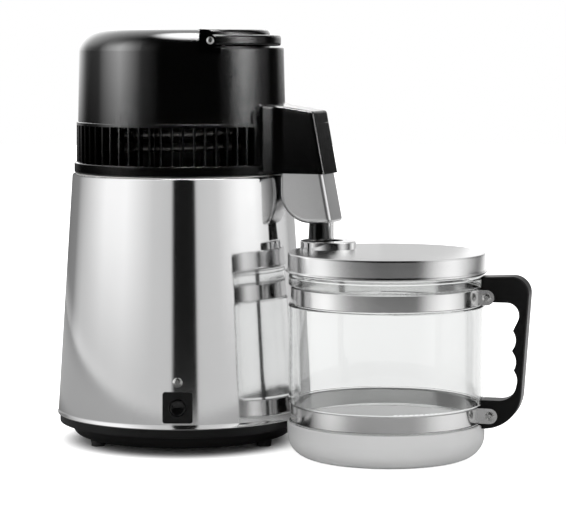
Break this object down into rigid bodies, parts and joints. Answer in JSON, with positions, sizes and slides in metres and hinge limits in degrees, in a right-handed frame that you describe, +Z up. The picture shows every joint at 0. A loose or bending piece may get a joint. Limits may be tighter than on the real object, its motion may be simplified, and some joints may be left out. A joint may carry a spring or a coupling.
{
  "type": "glass water distiller",
  "caption": "Countertop water distiller: steel boiler, black fan-cooled condenser head with a spout and folding bail, and a lidded glass jug with a side handle.",
  "frame": {"origin": "where the boiler's vertical axis meets the counter", "axes": "+Z up; -Y is the front, where the start switch faces; +X towards the jug"},
  "size_m": [0.4304, 0.2986, 0.3812],
  "materials": {
    "polished_steel": "polished",
    "plain_steel": "plain",
    "aluminium": "cast",
    "black_gloss": "moulded, high gloss",
    "black_satin": "moulded, satin",
    "rubber": "moulded",
    "silicone": "moulded, pale",
    "clear_tube": "clear",
    "glass": "clear",
    "screw_steel": "plated",
    "brass": "plain",
    "sachet": "non-woven"
  },
  "bodies": {
    "boiler": {"base_pan": "black_satin", "rubber_feet": "rubber", "foot_screws": "screw_steel", "outer_shell": "polished_steel", "boiling_pot": "plain_steel", "heater_plate": "aluminium", "heating_element": "plain_steel", "thermostats": "aluminium", "switch_bezel": "black_satin", "earth_screw": "screw_steel", "earth_nut": "screw_steel", "mains_inlet": "black_satin", "mains_pins": "brass"},
    "button": {"start_button": "black_gloss"},
    "head": {"steam_gasket": "silicone", "head_plate": "plain_steel", "lower_housing": "black_gloss", "condenser_coil": "plain_steel", "condenser_fins": "aluminium", "air_guide": "black_satin", "upper_cover": "black_gloss", "motor_bracket": "plain_steel", "bracket_screws": "screw_steel", "fan_motor": "plain_steel", "fan_inlet": "black_satin", "fan_pins": "brass", "bail_screws": "screw_steel", "filter_cup": "polished_steel", "carbon_sachet": "sachet", "nozzle": "black_satin", "drip_tube": "clear_tube"},
    "fan": {"fan_rotor": "black_satin"},
    "bail": {"bail_handle": "black_gloss"},
    "jug": {"glass_jug": "glass", "upper_band": "polished_steel", "lower_band": "polished_steel", "jug_handle": "black_satin", "clamp_screws": "screw_steel", "clamp_nuts": "screw_steel"},
    "lid": {"lid": "polished_steel", "inlet_collar": "polished_steel"}
  },
  "joints": [
    {"name": "button_press", "type": "slide", "parent": "boiler", "child": "button", "axis": [0, 0.9977, -0.0674], "range_m": [0, 0.0025], "stiffness_N_per_m": 400, "springref_m": -0.001},
    {"name": "head_lift", "type": "slide", "parent": "boiler", "child": "head", "axis": [0, 0, 1], "range_m": [0, 0.2]},
    {"name": "fan_spin", "type": "hinge", "parent": "head", "child": "fan", "pos_m": [0, 0, 0.3362], "axis": [0, 0, 1], "continuous": true},
    {"name": "bail_fold", "type": "hinge", "parent": "head", "child": "bail", "pos_m": [0.029, 0, 0.3707], "axis": [0, -1, 0], "range_deg": [0, 90]},
    {"name": "jug_slide", "type": "slide", "parent": "boiler", "child": "jug", "axis": [0.8988, -0.4384, 0], "range_m": [0, 0.15]},
    {"name": "lid_turn", "type": "hinge", "parent": "jug", "child": "lid", "pos_m": [0.18587, -0.09065, 0.1833], "axis": [0, 0, 1], "continuous": true}
  ]
}
